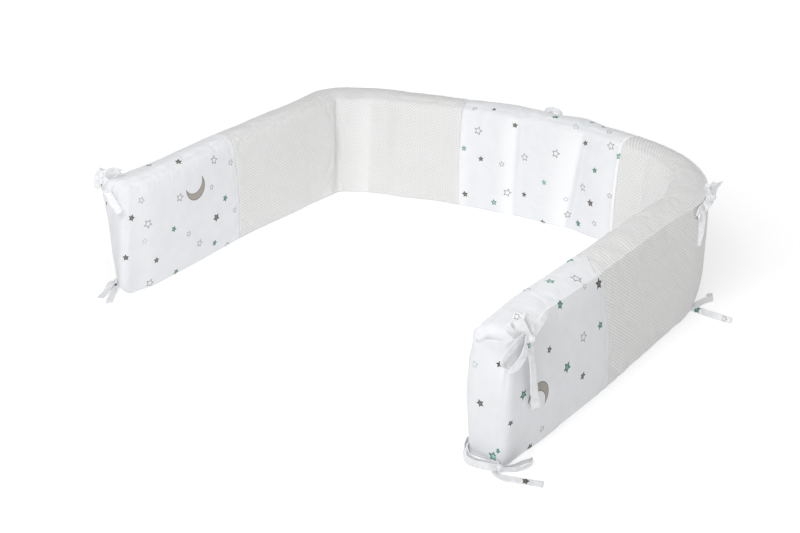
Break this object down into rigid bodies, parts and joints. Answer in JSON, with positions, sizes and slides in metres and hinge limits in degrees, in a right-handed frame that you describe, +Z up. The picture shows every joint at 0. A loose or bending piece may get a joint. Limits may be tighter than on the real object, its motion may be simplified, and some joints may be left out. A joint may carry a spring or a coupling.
{
  "type": "crib bumper",
  "caption": "Padded wall for the inside of a crib, bent into a U on its long edge, of printed cotton and spacer mesh sections, with cotton ties at its outer edges.",
  "frame": {"origin": "middle of the bounding box at floor level", "axes": "+Z up; the open side of the U faces -Y, and its back runs along X"},
  "size_m": [0.9493, 0.8225, 0.2245],
  "materials": {
    "printed_cotton": "matt woven cotton with a small star and moon print",
    "spacer_mesh": "matt knitted spacer mesh",
    "tie_cotton": "matt woven cotton"
  },
  "bodies": {
    "root": {"end_panel_left": "printed_cotton", "mesh_panel_left": "spacer_mesh", "middle_panel": "printed_cotton", "mesh_panel_right": "spacer_mesh", "end_panel_right": "printed_cotton", "tie_left_end_top": "tie_cotton", "tie_left_end_bottom": "tie_cotton", "tie_left_corner_top": "tie_cotton", "tie_left_corner_bottom": "tie_cotton", "tie_back_top": "tie_cotton", "tie_back_bottom": "tie_cotton", "tie_right_corner_top": "tie_cotton", "tie_right_corner_bottom": "tie_cotton", "tie_right_end_top": "tie_cotton", "tie_right_end_bottom": "tie_cotton"}
  },
  "joints": []
}
